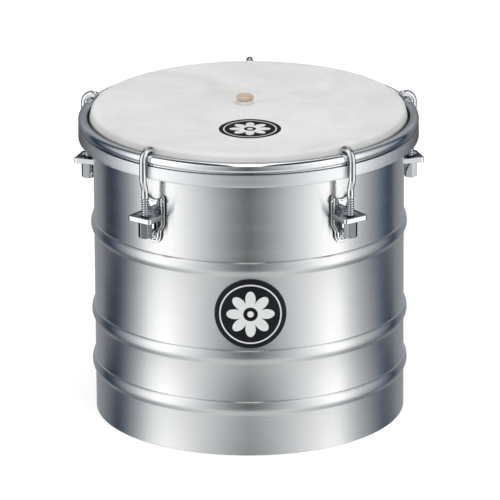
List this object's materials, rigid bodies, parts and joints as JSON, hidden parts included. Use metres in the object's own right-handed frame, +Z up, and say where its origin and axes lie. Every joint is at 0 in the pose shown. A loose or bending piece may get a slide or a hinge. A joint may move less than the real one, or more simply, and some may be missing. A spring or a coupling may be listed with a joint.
{
  "type": "cuica",
  "caption": "Friction drum: a beaded metal shell open at the bottom, a skin head pulled down by a hooped rim with hooked rods, and an inner friction stick tied to the skin.",
  "frame": {"origin": "middle of the footprint's bounding box, on the plane that the open lower rim stands on; the drum's own axis is 3.8 mm in front of it (towards -Y), because the rear lug reaches past the hoop", "axes": "+Z up along the drum's axis towards the skin; -Y is the front with the badge; +X to the right seen from the front"},
  "size_m": [0.2298, 0.23, 0.2129],
  "materials": {
    "shell_aluminium": "rolled sheet, brushed round the shell, satin",
    "chrome": "polished chrome plate",
    "plated_steel": "dull zinc plate",
    "goat_skin": "scraped natural skin, off-white, faintly mottled",
    "bamboo": "smooth bamboo cane",
    "turned_wood": "pale turned wood, waxed",
    "waxed_thread": "waxed cotton thread",
    "badge_foil": "black foil with a silver print, slightly glossy"
  },
  "bodies": {
    "drum": {"shell": "shell_aluminium", "head_skin": "goat_skin", "shell_badge": "badge_foil", "lug_1": "chrome", "lug_screw_1": "chrome", "lug_washer_1": "plated_steel", "lug_nut_1": "plated_steel", "lug_2": "chrome", "lug_screw_2": "chrome", "lug_washer_2": "plated_steel", "lug_nut_2": "plated_steel", "lug_3": "chrome", "lug_screw_3": "chrome", "lug_washer_3": "plated_steel", "lug_nut_3": "plated_steel", "lug_4": "chrome", "lug_screw_4": "chrome", "lug_washer_4": "plated_steel", "lug_nut_4": "plated_steel", "lug_5": "chrome", "lug_screw_5": "chrome", "lug_washer_5": "plated_steel", "lug_nut_5": "plated_steel"},
    "rim": {"counterhoop": "chrome", "flesh_hoop": "plated_steel", "tension_hook_1": "chrome", "tension_hook_2": "chrome", "tension_hook_3": "chrome", "tension_hook_4": "chrome", "tension_hook_5": "chrome"},
    "stick": {"friction_stick": "bamboo", "skin_neck": "goat_skin", "neck_binding": "waxed_thread", "stick_button": "turned_wood"},
    "nut_1": {"tuning_nut_1": "chrome"},
    "nut_2": {"tuning_nut_2": "chrome"},
    "nut_3": {"tuning_nut_3": "chrome"},
    "nut_4": {"tuning_nut_4": "chrome"},
    "nut_5": {"tuning_nut_5": "chrome"}
  },
  "joints": [
    {"name": "head_tension", "type": "slide", "parent": "drum", "child": "rim", "axis": [0, 0, -1], "range_m": [-0.003, 0.003]},
    {"name": "stick_push", "type": "slide", "parent": "drum", "child": "stick", "axis": [0, 0, 1], "range_m": [-0.002, 0.002], "stiffness_N_per_m": 1500},
    {"name": "nut_1_turn", "type": "hinge", "parent": "drum", "child": "nut_1", "pos_m": [0.06577, -0.09433, 0.1514], "axis": [0, 0, 1], "range_deg": [-1351, 1351]},
    {"name": "nut_2_turn", "type": "hinge", "parent": "drum", "child": "nut_2", "pos_m": [0.10642, 0.03078, 0.1514], "axis": [0, 0, 1], "range_deg": [-1351, 1351]},
    {"name": "nut_3_turn", "type": "hinge", "parent": "drum", "child": "nut_3", "pos_m": [0, 0.1081, 0.1514], "axis": [0, 0, 1], "range_deg": [-1351, 1351]},
    {"name": "nut_4_turn", "type": "hinge", "parent": "drum", "child": "nut_4", "pos_m": [-0.10642, 0.03078, 0.1514], "axis": [0, 0, 1], "range_deg": [-1351, 1351]},
    {"name": "nut_5_turn", "type": "hinge", "parent": "drum", "child": "nut_5", "pos_m": [-0.06577, -0.09433, 0.1514], "axis": [0, 0, 1], "range_deg": [-1351, 1351]}
  ],
  "couplings": [
    {"joint": "nut_1_turn", "follows": "head_tension", "rad_per_m": 7854},
    {"joint": "nut_2_turn", "follows": "head_tension", "rad_per_m": 7854},
    {"joint": "nut_3_turn", "follows": "head_tension", "rad_per_m": 7854},
    {"joint": "nut_4_turn", "follows": "head_tension", "rad_per_m": 7854},
    {"joint": "nut_5_turn", "follows": "head_tension", "rad_per_m": 7854}
  ]
}
